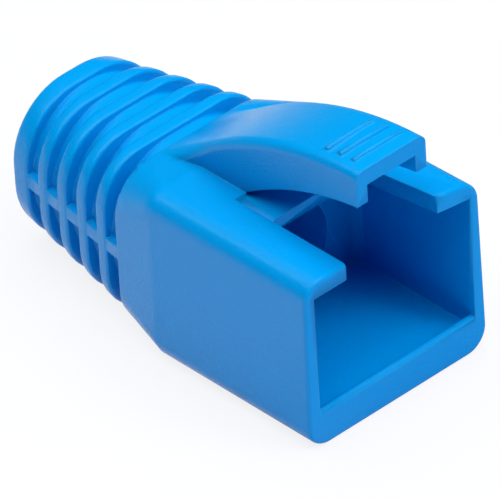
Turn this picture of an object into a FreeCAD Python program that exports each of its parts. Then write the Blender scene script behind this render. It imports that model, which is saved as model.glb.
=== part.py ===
# Strain relief boot for a network plug: one moulded piece.
# Underside on z = 0, mouth facing -Y, tail towards +Y, width along X. Lengths are in millimetres.
import FreeCAD, Part
import math
import os
import Sketcher

os.makedirs("parts", exist_ok=True)
doc = FreeCAD.newDocument("boot")
sheet = doc.addObject("Spreadsheet::Sheet", "Sizes")

sizes = [
    ("plug_half_width", 6.05, "half the width of the plug space"),
    ("wall", 0.85, "side wall at the underside"),
    ("side_lean", 0.15, "how far each side leans in from underside to top"),
    ("box_height", 11.35, "underside to top"),
    ("low_radius", 1.5, "long edges of the underside"),
    ("high_radius", 1.3, "long edges of the top"),
    ("floor", 1.6, "thickness under the plug"),
    ("roof", 1.09, "thickness over the plug"),
    ("socket_depth", 9.5, "mouth to the back wall of the plug space"),
    ("socket_bevel", 0.5, "upright back corners of the plug space"),
    ("mouth_edge", 0.25, "rounding around the outline of the mouth"),
    ("taper_start", 12.43, "mouth to where the sides begin to narrow"),
    ("box_length", 16.16, "mouth to the first groove"),
    ("tail_narrowing", 0.6, "how far each side has come in at the first groove"),
    ("tail_drop", 0.73, "how far the top has come down at the first groove"),
    ("tail_corner", 2.8, "corner radius of the section at the first groove"),
    ("end_half_width", 4.84, "half the width of the tail end"),
    ("end_half_height", 4.96, "half the height of the tail end"),
    ("end_roundness", 0.87, "corner radius of the tail end over its smaller half size"),
    ("groove_count", 5, "grooves along the tail"),
    ("groove_pitch", 1.937, "groove to groove"),
    ("groove_width", 1.041, "width of one groove"),
    ("groove_side_depth", 0.48, "groove depth beside the rails"),
    ("groove_top_depth", 0.42, "groove depth over the middle"),
    ("core_roundness", 0.95, "corner radius of the core over its smaller half size"),
    ("end_ring", 1.545, "length of the last ring"),
    ("ring_edge", 0.1, "bevel of the ring edges and of the box at the first groove"),
    ("tail_edge", 0.4, "rounding around the outline of the tail end"),
    ("rail_height", 0.98, "height of the side rails"),
    ("rail_level", 5.44, "underside to the middle of the side rails"),
    ("rail_inset", 0.04, "how far the rails lie under the ring sides"),
    ("bore_radius", 3.75, "cable hole"),
    ("bore_level", 5.1, "underside to the middle of the cable hole"),
    ("lip_rise", 0.81, "lip over the floor"),
    ("lip_length", 1.45, "mouth to the foot of the lip"),
    ("lip_radius", 0.3, "front edge of the lip"),
    ("slot_half_width", 3.545, "half the width of the latch slot"),
    ("slot_length", 8.95, "mouth to the back of the latch slot"),
    ("tongue_start", 6.2, "mouth to the front of the tongue under the guard"),
    ("tongue_step", 0.25, "how far the tongue lies under the top"),
    ("tongue_radius", 1.06, "long edges of the tongue"),
    ("tongue_tuck", 0.3, "how far the tongue runs on into the roof"),
    ("guard_half_width", 2.67, "half the width of the latch guard"),
    ("guard_leg", 0.81, "thickness of each side of the guard"),
    ("guard_crown", 1.1, "thickness of the guard's crown at its front"),
    ("guard_overhang", 0.25, "how far the guard stands out past the mouth"),
    ("guard_rise", 5.77, "top of the box to the crown at its front"),
    ("guard_hem", 3.5, "top of the box to the front lower corner of the guard's sides"),
    ("guard_hem_radius", 21.66, "curve of the guard's lower edge"),
    ("guard_axis", 0.81, "how far the middle of the crown's curve is in front of the mouth"),
    ("guard_bend", 11.7, "mouth to where the crown's curve runs straight"),
    ("guard_hollow", 12.86, "mouth to the back of the hollow"),
    ("guard_edge", 0.6, "rounding of the guard's upper edges"),
    ("grip_first", 0.87, "mouth to the first grip line"),
    ("grip_pitch", 1.065, "grip line to grip line"),
    ("grip_half_length", 1.8, "half the length of a grip line"),
    ("grip_radius", 0.16, "roundness of a grip line"),
]
for row, (alias, size, note) in enumerate(sizes, start=1):
    sheet.set("A%d" % row, note)
    sheet.set("B%d" % row, str(size))
    sheet.setAlias("B%d" % row, alias)
doc.recompute()

box_low_half = "Sizes.plug_half_width + Sizes.wall"
box_high_half = "Sizes.plug_half_width + Sizes.wall - Sizes.side_lean"
ceiling = "Sizes.box_height - Sizes.roof"
tail_half = "Sizes.plug_half_width + Sizes.wall - Sizes.tail_narrowing"
tail_top = "Sizes.box_height - Sizes.tail_drop"
tail_length = "(Sizes.groove_count - 1) * Sizes.groove_pitch + Sizes.groove_width + Sizes.end_ring"
tail_end = "Sizes.box_length + " + tail_length
end_bottom = "Sizes.bore_level - Sizes.end_half_height"
end_top = "Sizes.bore_level + Sizes.end_half_height"
guard_back = "Sizes.box_length - Sizes.ring_edge"
guard_heel = tail_top + " + Sizes.tail_drop * Sizes.ring_edge / (Sizes.box_length - Sizes.taper_start)"
crown_top = "Sizes.box_height + Sizes.guard_rise"
crown_under = "Sizes.box_height + Sizes.guard_rise - Sizes.guard_crown"


def amount(expression):
    return float(sheet.evalExpression(expression))


def near(first, second):
    return abs(first - second) < 0.001


def start_body(label):
    body = doc.addObject("PartDesign::Body", label)
    body.Label = label
    return body


def origin_part(body, role):
    return [item for item in body.Origin.OriginFeatures if item.Role == role][0]


def plane_sketch(body, name, role, offset="0"):
    sketch = body.newObject("Sketcher::SketchObject", name)
    sketch.AttachmentSupport = [(origin_part(body, role), "")]
    sketch.MapMode = "FlatFace"
    sketch.setExpression(".AttachmentOffset.Base.z", offset)
    return sketch


def bind(sketch, expression, kind, *places):
    index = sketch.addConstraint(Sketcher.Constraint(kind, *places, amount(expression)))
    sketch.setExpression("Constraints[%d]" % index, expression)


def place(sketch, item, end, across, up):
    """Ties one point of a sketch to sizes, measured from the sketch's origin."""
    bind(sketch, across, "DistanceX", -1, 1, item, end)
    bind(sketch, up, "DistanceY", -1, 1, item, end)


def join(sketch, kind, first, first_end, second, second_end):
    sketch.addConstraint(Sketcher.Constraint(kind, first, first_end, second, second_end))


def line(sketch, start, end):
    return sketch.addGeometry(Part.LineSegment(FreeCAD.Vector(*start, 0), FreeCAD.Vector(*end, 0)))


def arc(sketch, middle, radius, start_angle, end_angle):
    circle = Part.Circle(FreeCAD.Vector(*middle, 0), FreeCAD.Vector(0, 0, 1), radius)
    return sketch.addGeometry(Part.ArcOfCircle(circle, math.radians(start_angle), math.radians(end_angle)))


def arc_through(sketch, middle, start, end):
    """An arc about a middle, anticlockwise from the direction of one point to that of another."""
    first, last = (math.degrees(math.atan2(y - middle[1], x - middle[0])) for x, y in (start, end))
    return arc(sketch, middle, math.dist(middle, start), first, last)


def chain(sketch, spots):
    """Straight lines through points given by sizes."""
    points = [(amount(across), amount(up)) for across, up in spots]
    edges = [line(sketch, *pair) for pair in zip(points, points[1:])]
    for piece, following in zip(edges, edges[1:]):
        join(sketch, "Coincident", piece, 2, following, 1)
    for piece, spot in zip(edges, spots):
        place(sketch, piece, 1, *spot)
    return edges


def outline(sketch, spots):
    """A closed outline of straight lines through points given by sizes."""
    edges = chain(sketch, spots + spots[:1])
    join(sketch, "Coincident", edges[-1], 2, edges[0], 1)


def rounded_section(body, name, station, low_half, high_half, bottom, top, low_radius, high_radius):
    """A rounded outline across the part at one distance from the mouth."""
    sketch = plane_sketch(body, name, "XZ_Plane", "-(%s)" % station)
    low, high = amount(low_half), amount(high_half)
    foot, head = amount(bottom), amount(top)
    under, over = amount(low_radius), amount(high_radius)
    low_line = line(sketch, (under - low, foot), (low - under, foot))
    low_right = arc(sketch, (low - under, foot + under), under, -90, 0)
    right_line = line(sketch, (low, foot + under), (high, head - over))
    high_right = arc(sketch, (high - over, head - over), over, 0, 90)
    high_line = line(sketch, (high - over, head), (over - high, head))
    high_left = arc(sketch, (over - high, head - over), over, 90, 180)
    left_line = line(sketch, (-high, head - over), (-low, foot + under))
    low_left = arc(sketch, (under - low, foot + under), under, 180, 270)
    loop = [low_line, low_right, right_line, high_right, high_line, high_left, left_line, low_left]
    for piece, following in zip(loop, loop[1:] + loop[:1]):
        join(sketch, "Tangent", piece, 2, following, 1)
    for right, left in ((low_right, low_left), (high_right, high_left)):
        sketch.addConstraint(Sketcher.Constraint("Equal", right, left))
        sketch.addConstraint(Sketcher.Constraint("Symmetric", right, 3, left, 3, -2))
    bind(sketch, low_radius, "Radius", low_right)
    bind(sketch, high_radius, "Radius", high_right)
    place(sketch, low_right, 3, "%s - (%s)" % (low_half, low_radius), "%s + %s" % (bottom, low_radius))
    place(sketch, high_right, 3, "%s - (%s)" % (high_half, high_radius), "%s - (%s)" % (top, high_radius))
    return sketch


def band(body, name, role, offset, half_width, low, high):
    """A rectangle even about the middle, between two heights or two distances."""
    sketch = plane_sketch(body, name, role, offset)
    left = "-(%s)" % half_width
    outline(sketch, [(left, low), (half_width, low), (half_width, high), (left, high)])
    return sketch


def feature(body, kind, name, profile, length=None, **settings):
    item = body.newObject("PartDesign::" + kind, name)
    item.Profile = profile
    for key, setting in settings.items():
        setattr(item, key, setting)
    if length:
        item.setExpression("Length", length)
    doc.recompute()
    return item


def combine(body, name, other, kind):
    item = body.newObject("PartDesign::Boolean", name)
    item.setObjects([other])
    item.Type = kind
    doc.recompute()


def dress_edges(body, kind, name, size_name, size, pick):
    base = body.Tip
    shape = base.Shape
    wanted = pick(shape)
    names = ["Edge%d" % number for number, edge in enumerate(shape.Edges, start=1)
             if any(edge.isSame(match) for match in wanted)]
    item = body.newObject("PartDesign::" + kind, name)
    item.Base = (base, names)
    item.setExpression(size_name, size)
    doc.recompute()


def rims(shape, first, last):
    """Outer edges of the flat faces that lie across the part between two distances."""
    faces = [face for face in shape.Faces if near(face.BoundBox.YLength, 0)]
    return [edge for face in faces if first - 0.001 < face.BoundBox.YMin < last + 0.001
            for edge in face.OuterWire.Edges]


# Latch guard: a curved hood with a hollow under its crown.
guard = start_body("latch_guard")
front = -amount("Sizes.guard_overhang")
axis = -amount("Sizes.guard_axis")
deck = amount("Sizes.box_height")
crown = amount(crown_top)
side = plane_sketch(guard, "guard_side", "YZ_Plane")
foot_line, base_line, heel_line, slope = chain(side, [
    ("Sizes.slot_length", "Sizes.box_height"),
    ("Sizes.slot_length", "Sizes.box_height / 2"),
    (guard_back, "Sizes.box_height / 2"),
    (guard_back, guard_heel),
    ("Sizes.guard_bend", "Sizes.box_height + Sizes.guard_rise / 3"),
])
hem = amount("Sizes.box_height + Sizes.guard_hem")
hem_radius = amount("Sizes.guard_hem_radius")
foot = amount("Sizes.slot_length")
bend = (amount("Sizes.guard_bend"), deck + amount("Sizes.guard_rise / 3"))
hem_arc = arc_through(side, (front - hem_radius / 8, deck - hem_radius * 5 / 6), (foot, deck), (front, hem))
crown_arc = arc_through(side, (axis, crown - 2.1 * deck), bend, (front, crown))
face = line(side, (front, crown), (front, hem))
join(side, "Coincident", hem_arc, 1, foot_line, 1)
join(side, "Tangent", slope, 2, crown_arc, 1)
join(side, "Coincident", crown_arc, 2, face, 1)
join(side, "Coincident", face, 2, hem_arc, 2)
bind(side, "Sizes.guard_hem_radius", "Radius", hem_arc)
place(side, hem_arc, 2, "-Sizes.guard_overhang", "Sizes.box_height + Sizes.guard_hem")
bind(side, "Sizes.guard_bend", "DistanceX", -1, 1, crown_arc, 1)
bind(side, "-Sizes.guard_axis", "DistanceX", -1, 1, crown_arc, 3)
place(side, crown_arc, 2, "-Sizes.guard_overhang", crown_top)
crown_radius = side.addConstraint(Sketcher.Constraint("Radius", crown_arc, amount("2.1 * Sizes.box_height")))
side.setDriving(crown_radius, False)
side.renameConstraint(crown_radius, "crown_radius")
feature(guard, "Pad", "guard_block", side, "2 * Sizes.guard_half_width", Midplane=True)


def upper_edges(shape):
    """Edges along the guard's sides, less the two of its hem."""
    sides = [edge for edge in shape.Edges if near(edge.BoundBox.XLength, 0) and edge.BoundBox.YLength > 1]
    return [edge for edge in sides if edge.CenterOfMass.z > deck and not near_radius(edge, hem_radius)]


def near_radius(edge, radius):
    return edge.Curve.TypeId == "Part::GeomCircle" and near(edge.Curve.Radius, radius)


dress_edges(guard, "Fillet", "guard_edges", "Radius", "Sizes.guard_edge", upper_edges)

hollow = plane_sketch(guard, "guard_hollow", "YZ_Plane")
drop_line, under_line, rise_line = chain(hollow, [
    ("-Sizes.guard_axis", crown_under),
    ("-Sizes.guard_axis", "Sizes.box_height / 4"),
    ("Sizes.guard_hollow", "Sizes.box_height / 4"),
    ("Sizes.guard_hollow", "Sizes.box_height"),
])
lid = amount(crown_under)
roof_arc = arc_through(hollow, (axis, lid - 2 * deck), (amount("Sizes.guard_hollow"), deck), (axis, lid))
join(hollow, "Coincident", roof_arc, 1, rise_line, 2)
join(hollow, "Coincident", roof_arc, 2, drop_line, 1)
place(hollow, rise_line, 2, "Sizes.guard_hollow", "Sizes.box_height")
bind(hollow, "-Sizes.guard_axis", "DistanceX", -1, 1, roof_arc, 3)
feature(guard, "Pocket", "guard_channel", hollow, "2 * (Sizes.guard_half_width - Sizes.guard_leg)",
        Midplane=True)

grips = plane_sketch(guard, "grip_lines", "YZ_Plane")
guide = arc_through(grips, (axis, crown - 2.1 * deck), (bend[0], bend[1]), (front, crown))
grips.toggleConstruction(guide)
place(grips, guide, 2, "-Sizes.guard_overhang", crown_top)
bind(grips, "-Sizes.guard_axis", "DistanceX", -1, 1, guide, 3)
bind(grips, "guard_side.Constraints.crown_radius", "Radius", guide)
bind(grips, "Sizes.guard_bend", "DistanceX", -1, 1, guide, 1)
for turn in range(3):
    station = "Sizes.grip_first + %d * Sizes.grip_pitch" % turn
    ring = grips.addGeometry(Part.Circle(FreeCAD.Vector(amount(station), crown, 0), FreeCAD.Vector(0, 0, 1),
                                         amount("Sizes.grip_radius")))
    bind(grips, "Sizes.grip_radius", "Radius", ring)
    bind(grips, station, "DistanceX", -1, 1, ring, 3)
    grips.addConstraint(Sketcher.Constraint("PointOnObject", ring, 3, guide))
feature(guard, "Pad", "grips", grips, "2 * Sizes.grip_half_length", Midplane=True)

# Groove cutter: slabs across the tail, less the rounder core inside them.
cutter = start_body("groove_cutter")
slab = band(cutter, "slab_outline", "XZ_Plane", "-Sizes.box_length", "Sizes.plug_half_width + 2 * Sizes.wall",
            "-Sizes.wall", "Sizes.box_height + Sizes.wall")
first_slab = feature(cutter, "Pad", "first_slab", slab, "Sizes.groove_width", Reversed=True)
slabs = cutter.newObject("PartDesign::LinearPattern", "slabs")
slabs.Originals = [first_slab]
slabs.Direction = (origin_part(cutter, "Y_Axis"), [""])
slabs.setExpression("Length", "(Sizes.groove_count - 1) * Sizes.groove_pitch")
slabs.setExpression("Occurrences", "Sizes.groove_count")
cutter.Tip = slabs
core_corner = "Sizes.core_roundness * min(%s; %s)"
start_wide = tail_half + " - Sizes.groove_side_depth"
start_corner = core_corner % (start_wide, "(%s) / 2 - Sizes.groove_top_depth" % tail_top)
end_wide = "Sizes.end_half_width - Sizes.groove_side_depth"
end_corner = core_corner % (end_wide, "Sizes.end_half_height - Sizes.groove_top_depth")
core_start = rounded_section(cutter, "core_start", "Sizes.box_length", start_wide, start_wide,
                             "Sizes.groove_top_depth", tail_top + " - Sizes.groove_top_depth",
                             start_corner, start_corner)
core_end = rounded_section(cutter, "core_end", tail_end, end_wide, end_wide,
                           end_bottom + " + Sizes.groove_top_depth", end_top + " - Sizes.groove_top_depth",
                           end_corner, end_corner)
feature(cutter, "SubtractiveLoft", "core", core_start, Sections=[core_end])

# The boot itself, from its outside inwards.
boot = start_body("strain_relief_boot")
box_shape = (box_low_half, box_high_half, "0", "Sizes.box_height", "Sizes.low_radius", "Sizes.high_radius")
ring_corner = "Sizes.end_roundness * min(Sizes.end_half_width; Sizes.end_half_height)"
sections = [
    rounded_section(boot, "mouth_section", "0", *box_shape),
    rounded_section(boot, "taper_section", "Sizes.taper_start", *box_shape),
    rounded_section(boot, "tail_section", "Sizes.box_length", tail_half, tail_half, "0", tail_top,
                    "Sizes.tail_corner", "Sizes.tail_corner"),
    rounded_section(boot, "end_section", tail_end, "Sizes.end_half_width", "Sizes.end_half_width",
                    end_bottom, end_top, ring_corner, ring_corner),
]
feature(boot, "AdditiveLoft", "outside", sections[0], Sections=sections[1:], Ruled=True)
combine(boot, "grooves", cutter, "Cut")
dress_edges(boot, "Chamfer", "ring_edges", "Size", "Sizes.ring_edge",
            lambda shape: rims(shape, amount("Sizes.box_length"), amount(tail_end + " - Sizes.end_ring")))
dress_edges(boot, "Fillet", "tail_edges", "Radius", "Sizes.tail_edge",
            lambda shape: rims(shape, amount(tail_end), amount(tail_end)))
dress_edges(boot, "Fillet", "mouth_edges", "Radius", "Sizes.mouth_edge", lambda shape: rims(shape, 0, 0))

rail_low = "Sizes.rail_level - Sizes.rail_height / 2"
rail_high = "Sizes.rail_level + Sizes.rail_height / 2"
rail_start = band(boot, "rail_start", "XZ_Plane", "-Sizes.box_length", tail_half + " - Sizes.rail_inset",
                  rail_low, rail_high)
rail_end = band(boot, "rail_end", "XZ_Plane", "-(%s - Sizes.tail_edge)" % tail_end,
                "Sizes.end_half_width - Sizes.rail_inset", rail_low, rail_high)
feature(boot, "AdditiveLoft", "rails", rail_start, Sections=[rail_end])
combine(boot, "with_guard", guard, "Fuse")

slot = band(boot, "slot_outline", "XY_Plane", "Sizes.box_height", "Sizes.slot_half_width",
            "-Sizes.wall", "Sizes.slot_length")
feature(boot, "Pocket", "slot", slot, "2 * Sizes.roof")
tongue_half = "Sizes.slot_half_width + Sizes.tongue_tuck"
tongue = rounded_section(boot, "tongue_outline", "Sizes.tongue_start", tongue_half, tongue_half,
                         "Sizes.box_height / 2", "Sizes.box_height - Sizes.tongue_step",
                         "Sizes.tongue_radius", "Sizes.tongue_radius")
feature(boot, "Pad", "tongue", tongue, "Sizes.slot_length - Sizes.tongue_start + Sizes.tongue_tuck",
        Reversed=True)

socket = plane_sketch(boot, "socket_outline", "XY_Plane", ceiling)
outline(socket, [
    ("-Sizes.plug_half_width", "-Sizes.wall"),
    ("Sizes.plug_half_width", "-Sizes.wall"),
    ("Sizes.plug_half_width", "Sizes.socket_depth - Sizes.socket_bevel"),
    ("Sizes.plug_half_width - Sizes.socket_bevel", "Sizes.socket_depth"),
    ("Sizes.socket_bevel - Sizes.plug_half_width", "Sizes.socket_depth"),
    ("-Sizes.plug_half_width", "Sizes.socket_depth - Sizes.socket_bevel"),
])
feature(boot, "Pocket", "socket", socket, ceiling + " - Sizes.floor")

lip = plane_sketch(boot, "lip_profile", "YZ_Plane")
stop_line, sole, rim_line = chain(lip, [
    ("Sizes.lip_length", "Sizes.floor"),
    ("Sizes.lip_length", "Sizes.floor / 2"),
    ("0", "Sizes.floor / 2"),
    ("0", "Sizes.floor + Sizes.lip_rise - Sizes.lip_radius"),
])
lip_radius = amount("Sizes.lip_radius")
lip_middle = (lip_radius, amount("Sizes.floor + Sizes.lip_rise - Sizes.lip_radius"))
rim_arc = arc(lip, lip_middle, lip_radius, 60, 180)
lip_end = (amount("Sizes.lip_length"), amount("Sizes.floor"))
ramp = line(lip, (lip_radius, lip_middle[1] + lip_radius), lip_end)
lip.addConstraint(Sketcher.Constraint("Vertical", rim_line))
join(lip, "Tangent", rim_line, 2, rim_arc, 2)
join(lip, "Tangent", rim_arc, 1, ramp, 1)
join(lip, "Coincident", ramp, 2, stop_line, 1)
bind(lip, "Sizes.lip_radius", "Radius", rim_arc)
bind(lip, "Sizes.floor + Sizes.lip_rise - Sizes.lip_radius", "DistanceY", -1, 1, rim_arc, 3)
feature(boot, "Pad", "lip", lip, "2 * Sizes.plug_half_width + Sizes.wall", Midplane=True)

cable = plane_sketch(boot, "cable_profile", "YZ_Plane")
bore_start = "Sizes.socket_depth - Sizes.socket_bevel"
bore_stop = tail_end + " + Sizes.wall"
bore_wall = "Sizes.bore_level + Sizes.bore_radius"
outline(cable, [
    (bore_start, "Sizes.bore_level"),
    (bore_start, bore_wall),
    (bore_stop, bore_wall),
    (bore_stop, "Sizes.bore_level"),
])
cable_line = line(cable, (0, amount("Sizes.bore_level")), (amount("Sizes.wall"), amount("Sizes.bore_level")))
cable.toggleConstruction(cable_line)
place(cable, cable_line, 1, "0", "Sizes.bore_level")
place(cable, cable_line, 2, "Sizes.wall", "Sizes.bore_level")
feature(boot, "Groove", "cable_hole", cable, ReferenceAxis=(cable, ["Axis0"]), Angle=360)

# The finished piece stands over the origin, which is the middle of its underside.
boot.setExpression(".Placement.Base.y", "(Sizes.guard_overhang - (%s)) / 2" % tail_end)
doc.recompute()
for item in doc.Objects:
    if {"Invalid", "Error"} & set(item.State):
        raise ValueError("not built: " + item.Name)
if boot.Shape.isNull() or not boot.Shape.isValid() or len(boot.Shape.Solids) != 1:
    raise ValueError("the boot is not one sound solid")
boot.Shape.exportStep("parts/%s.step" % boot.Label)
print(boot.Label, round(boot.Shape.Volume, 2), boot.Shape.BoundBox)
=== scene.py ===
import bmesh
import bpy
from math import hypot, radians
from mathutils import Matrix, Vector


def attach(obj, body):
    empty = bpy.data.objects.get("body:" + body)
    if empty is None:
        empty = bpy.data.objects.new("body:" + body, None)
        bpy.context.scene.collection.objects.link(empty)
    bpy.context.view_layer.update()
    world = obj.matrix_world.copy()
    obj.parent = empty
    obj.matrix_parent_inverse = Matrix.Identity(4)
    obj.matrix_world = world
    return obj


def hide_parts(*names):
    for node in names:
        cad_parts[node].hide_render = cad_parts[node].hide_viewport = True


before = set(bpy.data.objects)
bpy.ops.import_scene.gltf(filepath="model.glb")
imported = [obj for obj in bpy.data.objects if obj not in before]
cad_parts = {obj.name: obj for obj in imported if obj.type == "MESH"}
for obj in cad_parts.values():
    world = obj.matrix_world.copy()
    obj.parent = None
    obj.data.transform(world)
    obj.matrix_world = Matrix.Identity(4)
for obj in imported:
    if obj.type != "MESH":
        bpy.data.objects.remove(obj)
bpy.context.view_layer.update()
mm = 0.001
cutWithin = 0.0001 * mm  # how near a plane a point counts as on it; the default is too coarse for this size


# shader maths: wraps a socket, so that + - * add their Math nodes
class Wire:
    def __init__(self, tree, socket=None):
        self.tree = tree
        self.socket = socket

    # i0, i1 and so on are sockets by number, and the rest are by name
    def node(self, kind, settings=None, **inputs):
        made = self.tree.nodes.new(kind)
        for name, value in (settings or {}).items():
            setattr(made, name, value)
        for name, value in inputs.items():
            spot = made.inputs[int(name[1:]) if name[1:].isdigit() else name]
            if isinstance(value, Wire):
                self.tree.links.new(value.socket, spot)
            else:
                spot.default_value = value
        return made

    def out(self, made, name=0):
        return Wire(self.tree, made.outputs[name])

    def math(self, operation, first, second=0.0):
        return self.out(self.node("ShaderNodeMath", {"operation": operation}, i0=first, i1=second))

    def ramp(self, start, end, low=0.0, high=1.0, curve="LINEAR"):
        settings = {"interpolation_type": curve}
        made = self.node("ShaderNodeMapRange", settings, i0=self, i1=start, i2=end, i3=low, i4=high)
        return self.out(made)

    def __add__(self, other):
        return self.math("ADD", self, other)

    __radd__ = __add__

    def __mul__(self, other):
        return self.math("MULTIPLY", self, other)

    __rmul__ = __mul__

    def __sub__(self, other):
        return self.math("SUBTRACT", self, other)

    def __rsub__(self, other):
        return self.math("SUBTRACT", other, self)


def newMaterial(name):
    material = bpy.data.materials.new(name)
    material.use_nodes = True
    material.node_tree.nodes.clear()
    return material, Wire(material.node_tree)


# lengths in metres; an edge turns paler where its rounded normal leaves the flat one, a painted highlight
# along the edges
plastic = {
    "colour": (0.0, 0.305, 0.74, 1.0),
    "edgeColour": (0.03, 0.46, 0.88, 1.0),
    "edge": 0.00013,
    "edgeSamples": 8,
    "edgeTurn": (0.995, 0.85),
    "edgeShine": 0.5,
    "grain": 6000.0,
    "grainHeight": 0.6,
    "cloud": 140.0,  # broad and weak, for the roughness and the breaks in the parting line
    "bump": 0.5,
    "bumpDepth": 0.0001,
    "roughness": 0.22,
    "mottle": 0.06,
    "specular": 0.3,
}
# the parting line along the box, faint and broken; its bump is the ridge, and its paler shine is a painted
# highlight
seam = {
    "level": 0.0053,
    "width": 0.00005,
    "side": (0.0064, 0.0065),
    "end": (0.003, 0.002),
    "breaks": (0.42, 0.55),
    "height": 0.3,
    "shine": 0.1,
}


def mouldedPlastic():
    material, wire = newMaterial("bluePlastic")
    spots = wire.out(wire.node("ShaderNodeTexCoord"), "Object")
    grain = wire.out(wire.node("ShaderNodeTexNoise", Vector=spots, Scale=plastic["grain"], Detail=3.0))
    cloud = wire.out(wire.node("ShaderNodeTexNoise", Vector=spots, Scale=plastic["cloud"], Detail=2.0))
    place = wire.node("ShaderNodeSeparateXYZ", Vector=spots)
    off = wire.math("ABSOLUTE", wire.out(place, "Z") - seam["level"])
    outside = wire.math("ABSOLUTE", wire.out(place, "X")).ramp(*seam["side"])
    ahead = wire.out(place, "Y").ramp(*seam["end"])
    line = off.ramp(seam["width"], 0.0) * outside * ahead * cloud.ramp(*seam["breaks"])

    settings = {"samples": plastic["edgeSamples"]}
    rounded = wire.out(wire.node("ShaderNodeBevel", settings, Radius=plastic["edge"]))
    flat = wire.out(wire.node("ShaderNodeNewGeometry"), "Normal")
    dot = wire.node("ShaderNodeVectorMath", {"operation": "DOT_PRODUCT"}, i0=rounded, i1=flat)
    # painted highlight: the paler edge colour stands for the light that the rounded edges catch
    paintedEdgeHighlight = wire.out(dot, "Value").ramp(*plastic["edgeTurn"], 0.0, plastic["edgeShine"])
    # the parting line's shine is a painted highlight, mixed into the base colour
    colour = wire.node("ShaderNodeMix", {"data_type": "RGBA"}, i0=paintedEdgeHighlight + line * seam["shine"],
                       i6=plastic["colour"], i7=plastic["edgeColour"])
    height = grain * plastic["grainHeight"] + line * seam["height"]
    bumped = wire.node("ShaderNodeBump", Strength=plastic["bump"], Distance=plastic["bumpDepth"],
                       Height=height, Normal=rounded)
    finish = {
        "Base Color": wire.out(colour, 2),
        "Roughness": plastic["roughness"] + plastic["mottle"] * (cloud - 0.5),
        "Specular IOR Level": plastic["specular"],
        "Normal": wire.out(bumped),
    }
    shader = wire.node("ShaderNodeBsdfPrincipled", **finish)
    wire.node("ShaderNodeOutputMaterial", Surface=wire.out(shader))
    return material


def deselectAll():
    if bpy.context.object and bpy.context.object.mode != "OBJECT":
        bpy.ops.object.mode_set(mode="OBJECT")
    bpy.ops.object.select_all(action="DESELECT")


# selects the points of the mesh being edited that pass a test, and the edges between them
def pick(chosen):
    bpy.ops.mesh.select_mode(type="VERT")
    bpy.ops.mesh.select_all(action="DESELECT")
    shape = bmesh.from_edit_mesh(bpy.context.object.data)
    shape.verts.index_update()
    for point in shape.verts:
        if chosen(point):
            point.select_set(True)
    shape.select_flush(True)
    bmesh.update_edit_mesh(bpy.context.object.data)


# by their place in millimetres
def pickPoints(wanted):
    pick(lambda point: wanted(point.co / mm))


def pickNumbers(numbers):
    pick(lambda point: point.index in numbers)


# selects the sharp edges that stand out, or else those that lie in a corner
def pickSharp(standing):
    bpy.ops.mesh.select_mode(type="EDGE")
    bpy.ops.mesh.select_all(action="DESELECT")
    bpy.ops.mesh.edges_select_sharp(sharpness=radians(tail["sharpAngle"]))
    shape = bmesh.from_edit_mesh(bpy.context.object.data)
    for edge in shape.edges:
        if edge.select and edge.is_convex != standing:
            edge.select_set(False)
    bmesh.update_edit_mesh(bpy.context.object.data)


# the tail in millimetres, from the mouth; each end gives half width, bottom, top and corner radius
tail = {
    "mouth": -13.122,
    "start": 16.16,
    "end": 26.494,
    "hidden": 0.3,  # how far it runs on into the box
    "ringStart": (6.3, 0.0, 10.62, 2.8),
    "ringEnd": (4.84, 0.14, 10.06, 4.211),
    "coreStart": (5.82, 0.42, 10.3, 4.85),
    "coreEnd": (4.36, 0.56, 9.74, 4.25),
    "grooves": 5,
    "pitch": 1.937,
    "groove": 1.041,
    "bore": 3.77,
    "boreLevel": 5.1,
    "cornerSteps": 14,
    "sharpAngle": 60,
    "ringEdge": 0.22,
    "grooveEdge": 0.1,
    "edgeSteps": 4,
    "endEdge": 0.4,
    "endSteps": 6,
    "railLevel": 5.44,
    "railHeight": 0.98,
    "railThick": 1.0,
    "railInset": 0.04,
    "railEdge": 0.12,
}


def section(kind, along):
    share = (along - tail["start"]) / (tail["end"] - tail["start"])
    return [near + share * (far - near) for near, far in zip(tail[kind + "Start"], tail[kind + "End"])]


# the middle of one corner's rounding
def hub(station, right, high):
    along, half, bottom, top, corner = station
    level = top - corner if high else bottom + corner
    return Vector(((half - corner) * (1 if right else -1), along + tail["mouth"], level)) * mm


# draws the selected loop on to the next station, and gives its four corners their new place and radius
def drawLoop(now, then):
    bpy.ops.mesh.extrude_edges_move(TRANSFORM_OT_translate={"value": (0, (then[0] - now[0]) * mm, 0)})
    shape = bmesh.from_edit_mesh(bpy.context.object.data)
    shape.verts.index_update()
    middle = (now[2] + now[3]) / 2 * mm
    corners = {}
    for point in shape.verts:
        if point.select:
            corners.setdefault((point.co.x > 0, point.co.z > middle), set()).add(point.index)
    for side, numbers in corners.items():
        pickNumbers(numbers)
        before = hub((then[0], *now[1:]), *side)
        size = then[4] / now[4]
        bpy.ops.transform.resize(value=(size, 1, size), center_override=before)
        bpy.ops.transform.translate(value=hub(then, *side) - before)
    pickNumbers(set().union(*corners.values()))


# the tail's loops in order: over each groove and ring to the end, and back through the bore
def tailStations(first):
    stations = []
    for turn in range(tail["grooves"]):
        wall = tail["start"] + turn * tail["pitch"] + tail["groove"]
        after = wall + tail["pitch"] - tail["groove"]
        stations += [("core", wall), ("ring", wall), ("ring", after), ("core", after)]
    stations = [(along, *section(kind, along)) for kind, along in stations[:-2]]
    low = tail["boreLevel"] - tail["bore"]
    high = tail["boreLevel"] + tail["bore"]
    bore = (tail["bore"], low, high, tail["bore"] * 0.999)  # the corners all but meet, so it is round
    return stations + [(tail["end"], *section("ring", tail["end"])), (tail["end"], *bore), (first, *bore)]


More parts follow.
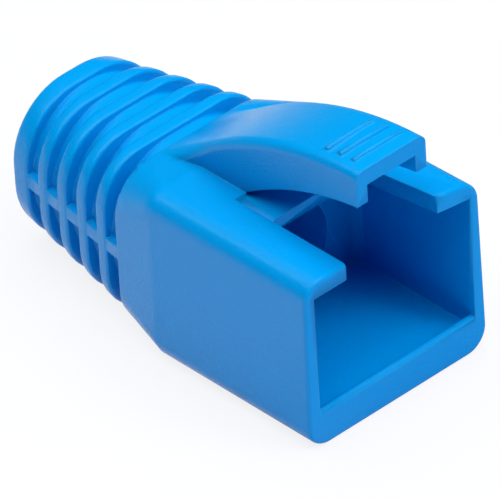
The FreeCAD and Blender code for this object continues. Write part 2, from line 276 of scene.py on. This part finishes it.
def makeTail():
    deselectAll()
    first = tail["start"] - tail["hidden"]
    now = (first, *section("core", first))
    middle = (0, (first + tail["mouth"]) * mm, (now[2] + now[3]) / 2 * mm)
    bpy.ops.mesh.primitive_plane_add(size=mm, location=middle, rotation=(radians(90), 0, 0))
    piece = bpy.context.object
    piece.name = "bootTail"
    bpy.ops.object.transform_apply()
    bpy.ops.object.mode_set(mode="EDIT")
    bpy.ops.transform.resize(value=(2 * now[1], 1, now[3] - now[2]), center_override=middle)
    bpy.ops.mesh.bevel(offset=now[4] * mm, segments=tail["cornerSteps"], affect="VERTICES")
    bpy.ops.mesh.delete(type="ONLY_FACE")
    bpy.ops.mesh.select_all(action="SELECT")
    for then in tailStations(first):
        drawLoop(now, then)
        now = then
    pickPoints(lambda spot: abs(spot.y - first - tail["mouth"]) < 0.001)
    bpy.ops.mesh.bridge_edge_loops()
    bpy.ops.mesh.select_all(action="SELECT")
    bpy.ops.mesh.normals_make_consistent(inside=False)

    tip = tail["end"] + tail["mouth"]
    level = tail["boreLevel"]
    outer = tail["bore"] + 0.3
    pickPoints(lambda spot: abs(spot.y - tip) < 0.001 and hypot(spot.x, spot.z - level) > outer)
    bpy.ops.mesh.bevel(offset=tail["endEdge"] * mm, segments=tail["endSteps"], affect="EDGES")
    for standing, radius in ((True, tail["ringEdge"]), (False, tail["grooveEdge"])):
        pickSharp(standing)
        bpy.ops.mesh.bevel(offset=radius * mm, segments=tail["edgeSteps"], affect="EDGES")
    for right in (-1, 1):
        addRail(right)
    bpy.ops.object.mode_set(mode="OBJECT")
    print("tail", len(piece.data.polygons), "faces")
    return piece


# a side rail: a bar whose outer face follows the rings, a little under their sides
def addRail(right):
    first = tail["start"] - tail["hidden"]
    last = tail["end"] - tail["endEdge"]
    middle = ((first + last) / 2 + tail["mouth"]) * mm
    thick = tail["railThick"]
    bpy.ops.mesh.select_mode(type="VERT")
    bpy.ops.mesh.select_all(action="DESELECT")
    place = Vector((0, middle, tail["railLevel"] * mm))
    bpy.ops.mesh.primitive_cube_add(size=mm, location=place)
    bpy.ops.transform.resize(value=(thick, last - first, tail["railHeight"]), center_override=place)
    shape = bmesh.from_edit_mesh(bpy.context.object.data)
    shape.verts.index_update()
    bar = {point.index for point in shape.verts if point.select}
    back = {point.index for point in shape.verts if point.select and point.co.y > middle}
    for numbers, along in ((bar - back, first), (back, last)):
        pickNumbers(numbers)
        reach = section("ring", along)[0] - tail["railInset"] - thick / 2
        bpy.ops.transform.translate(value=(right * reach * mm, 0, 0))
    pickNumbers(bar)
    bpy.ops.mesh.bevel(offset=tail["railEdge"] * mm, segments=tail["edgeSteps"], affect="EDGES")


# the right rim has sprung up at its tip, and the lip is steep behind; millimetres, along is from the mouth
rim = {
    "slot": 3.545,
    "under": 10.0,
    "length": 9.0,
    "cuts": (0.8, 1.7, 2.7, 3.8, 5.0),  # new edges along the rim, where it can bend
    "across": (4.3, 5.1),
    "rise": 0.72,
    "reach": 5.4,
    "lipFoot": 1.45,
    "floor": 1.6,
    "footMove": 0.55,
}


def shapeMouth():
    front = tail["mouth"]
    slot = rim["slot"]
    under = rim["under"]
    planes = [((0, (front + along) * mm, 0), (0, 1, 0)) for along in rim["cuts"]]
    planes += [((right * mm, 0, 0), (1, 0, 0)) for right in rim["across"]]
    for place, normal in planes:
        pickPoints(lambda spot: spot.x > slot - 0.1 and spot.y < front + rim["length"] and spot.z > under)
        bpy.ops.mesh.bisect(plane_co=place, plane_no=normal, threshold=cutWithin)
    pickPoints(lambda spot: 3 < spot.x < slot + 0.2 and spot.y < front + 0.3 and spot.z > under)
    bpy.ops.transform.translate(value=(0, 0, rim["rise"] * mm), use_proportional_edit=True,
                                proportional_edit_falloff="LINEAR", proportional_size=rim["reach"] * mm,
                                use_proportional_connected=True)
    foot = front + rim["lipFoot"]
    pickPoints(lambda spot: abs(spot.y - foot) < 0.01 and abs(spot.z - rim["floor"]) < 0.01)
    bpy.ops.transform.translate(value=(0, -rim["footMove"] * mm, 0))


# millimetres: the box is cut a little before the first groove, and its flat faces end before that
skin = {
    "cutAhead": 0.02,
    "flatAhead": 0.2,
    "mergeFirst": 0.001,
    "mergeLast": 0.002,
    "smoothAngle": 28,
    "weight": 80,
}


# the box and the guard: a copy of the solid, cut before the first groove
def makeBoot():
    deselectAll()
    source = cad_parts["strain_relief_boot"]
    boot = bpy.data.objects.new("bootSkin", source.data.copy())
    bpy.context.collection.objects.link(boot)
    boot.select_set(True)
    bpy.context.view_layer.objects.active = boot
    bpy.ops.object.mode_set(mode="EDIT")
    bpy.ops.mesh.select_all(action="SELECT")
    bpy.ops.mesh.remove_doubles(threshold=skin["mergeFirst"] * mm)
    shapeMouth()
    cut = (tail["start"] + tail["mouth"] - skin["cutAhead"]) * mm
    bpy.ops.mesh.select_all(action="SELECT")
    bpy.ops.mesh.bisect(plane_co=(0, cut, 0), plane_no=(0, 1, 0), use_fill=True, clear_outer=True,
                        threshold=cutWithin)
    bpy.ops.object.mode_set(mode="OBJECT")
    boot.data.materials.clear()
    boot.data.materials.append(mouldedPlastic())
    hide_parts("strain_relief_boot")
    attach(boot, "root")
    print("boot skin", len(boot.data.polygons), "faces")
    return boot


# the front of the bore, from the plug space to the tail, in millimetres from the mouth
hole = {"front": 9.45, "back": 16.2, "radius": 3.765, "sides": 96}


def makeHole():
    deselectAll()
    middle = (hole["front"] + hole["back"]) / 2 + tail["mouth"]
    bpy.ops.mesh.primitive_cylinder_add(vertices=hole["sides"], radius=hole["radius"] * mm,
                                        depth=(hole["back"] - hole["front"]) * mm,
                                        location=(0, middle * mm, tail["boreLevel"] * mm),
                                        rotation=(radians(90), 0, 0))
    bpy.ops.object.transform_apply()
    return bpy.context.object


# makes one closed skin of the box and the tail, with a round hole between them
def joinSkin(boot, tailPiece):
    for operation, other in (("UNION", tailPiece), ("DIFFERENCE", makeHole())):
        deselectAll()
        bpy.context.view_layer.objects.active = boot
        boot.select_set(True)
        mix = boot.modifiers.new("mix", "BOOLEAN")
        mix.operation = operation
        mix.solver = "EXACT"
        mix.use_self = operation == "UNION"  # the rails lie over the rings
        mix.object = other
        bpy.ops.object.modifier_apply(modifier="mix")
        bpy.data.objects.remove(other)
    bpy.ops.object.mode_set(mode="EDIT")
    bpy.ops.mesh.select_all(action="SELECT")
    bpy.ops.mesh.remove_doubles(threshold=skin["mergeLast"] * mm)
    flatEnd = tail["start"] + tail["mouth"] - skin["flatAhead"]
    pickPoints(lambda spot: spot.y < flatEnd)
    bpy.ops.object.vertex_group_add()
    bpy.ops.object.vertex_group_assign()
    bpy.ops.object.mode_set(mode="OBJECT")
    bpy.ops.object.shade_smooth_by_angle(angle=radians(skin["smoothAngle"]))
    weigh = boot.modifiers.new("weigh", "WEIGHTED_NORMAL")
    weigh.vertex_group = boot.vertex_groups[0].name
    weigh.keep_sharp = True
    weigh.weight = skin["weight"]
    bpy.ops.object.modifier_apply(modifier="weigh")
    print("joined skin", len(boot.data.polygons), "faces")


# matt for the light, almost white to the camera; in the boot's reflections it glows as a painted
# reflection, pale on its left and close by
ground = {
    "size": 4.0,
    "colour": (0.72, 0.75, 0.9, 1.0),
    "whiteness": 0.85,
    "pale": 0.85,
    "dark": 0.12,
    "left": (-0.02, 0.012, 0.0, 1.0, "SMOOTHSTEP"),
    "near": (0.04, 0.14, 1.0, 0.3, "SMOOTHSTEP"),
}


def makeFloor():
    deselectAll()
    bpy.ops.mesh.primitive_plane_add(size=ground["size"], location=(0, 0, 0))
    floor = bpy.context.object
    floor.name = "floor"
    material, wire = newMaterial("floorWhite")
    paths = wire.node("ShaderNodeLightPath")
    place = wire.out(wire.node("ShaderNodeTexCoord"), "Object")
    spot = wire.node("ShaderNodeSeparateXYZ", Vector=place)
    left = (wire.out(spot, "Y") - wire.out(spot, "X")).ramp(*ground["left"])
    away = wire.node("ShaderNodeVectorMath", {"operation": "LENGTH"}, i0=place)
    near = wire.out(away, "Value").ramp(*ground["near"])
    seen = wire.math("MAXIMUM", wire.out(paths, "Is Camera Ray"), wire.out(paths, "Is Transmission Ray"))
    matt = wire.out(wire.node("ShaderNodeBsdfDiffuse", Color=ground["colour"]))
    bright = wire.out(wire.node("ShaderNodeEmission"))
    pale = wire.out(wire.node("ShaderNodeEmission", Strength=ground["pale"]))
    dark = wire.out(wire.node("ShaderNodeEmission", Strength=ground["dark"]))
    plain = wire.out(wire.node("ShaderNodeMixShader", i0=seen * ground["whiteness"], i1=matt, i2=bright))
    # painted reflection: for glossy rays the floor glows, pale on the left and close by, dark elsewhere
    paintedReflection = wire.out(wire.node("ShaderNodeMixShader", i0=left * near, i1=dark, i2=pale))
    mixed = wire.node("ShaderNodeMixShader", i0=wire.out(paths, "Is Glossy Ray"), i1=plain, i2=paintedReflection)
    wire.node("ShaderNodeOutputMaterial", Surface=wire.out(mixed))
    floor.data.materials.append(material)


# place, size, watts and colour: the broad ones light the boot evenly
broadLamps = {
    "overhead": ((0.0, 0.0, 0.45), 0.7, 3.75, (1.0, 1.0, 1.0)),
    "front": ((0.205, -0.355, 0.287), 0.24, 0.72, (0.8, 0.88, 1.0)),
}
# the small ones are mirrored in its edges and at the guard's root
smallLamps = {
    "edges": ((0.13, -0.29, 0.38), 0.1, 0.2, (1.0, 1.0, 1.0)),
    "spark": ((-0.16, 0.34, 0.40), 0.1, 0.08, (1.0, 1.0, 1.0)),
}
lampAim = Vector((0, 0, 0.006))


def makeLamps(lamps, mirrored):
    for name, (place, size, power, colour) in lamps.items():
        data = bpy.data.lights.new(name, "AREA")
        data.shape = "DISK"
        data.size = size
        data.energy = power
        data.color = colour
        lamp = bpy.data.objects.new(name, data)
        lamp.location = place
        lamp.rotation_euler = (lampAim - Vector(place)).to_track_quat("-Z", "Y").to_euler()
        lamp.visible_glossy = mirrored
        bpy.context.collection.objects.link(lamp)


skyLight = 0.01  # the camera sees the sky white, and the boot all but dark


def makeSky():
    world = bpy.data.worlds.new("studio")
    world.use_nodes = True
    world.node_tree.nodes.clear()
    wire = Wire(world.node_tree)
    paths = wire.node("ShaderNodeLightPath")
    seen = wire.math("MAXIMUM", wire.out(paths, "Is Camera Ray"), wire.out(paths, "Is Transmission Ray"))
    strength = skyLight + (1 - skyLight) * seen
    sky = wire.node("ShaderNodeBackground", Color=(1, 1, 1, 1), Strength=strength)
    wire.node("ShaderNodeOutputWorld", Surface=wire.out(sky))
    bpy.context.scene.world = world


# it stands where the photograph was taken from: place and clips in metres, lens and sensor in millimetres
view = {
    "place": (-0.33354, -0.37918, 0.37649),
    "right": (0.72401, -0.68798, -0.04988),
    "up": (0.43866, 0.40341, 0.80302),
    "back": (-0.53234, -0.60327, 0.59387),
    "lens": 798.7,
    "sensor": 36.0,
    "clips": (0.01, 20.0),
}


def makeCamera():
    data = bpy.data.cameras.new("photoCamera")
    data.lens = view["lens"]
    data.sensor_width = view["sensor"]
    data.clip_start, data.clip_end = view["clips"]
    camera = bpy.data.objects.new("photoCamera", data)
    turn = Matrix((view["right"], view["up"], view["back"])).transposed().to_4x4()
    camera.matrix_world = Matrix.Translation(view["place"]) @ turn
    bpy.context.collection.objects.link(camera)
    bpy.context.scene.camera = camera


makeCamera()
makeSky()
makeLamps(broadLamps, False)
makeLamps(smallLamps, True)
makeFloor()
print("studio ready")
boot = makeBoot()
joinSkin(boot, makeTail())
bpy.context.scene.view_settings.view_transform = "Standard"
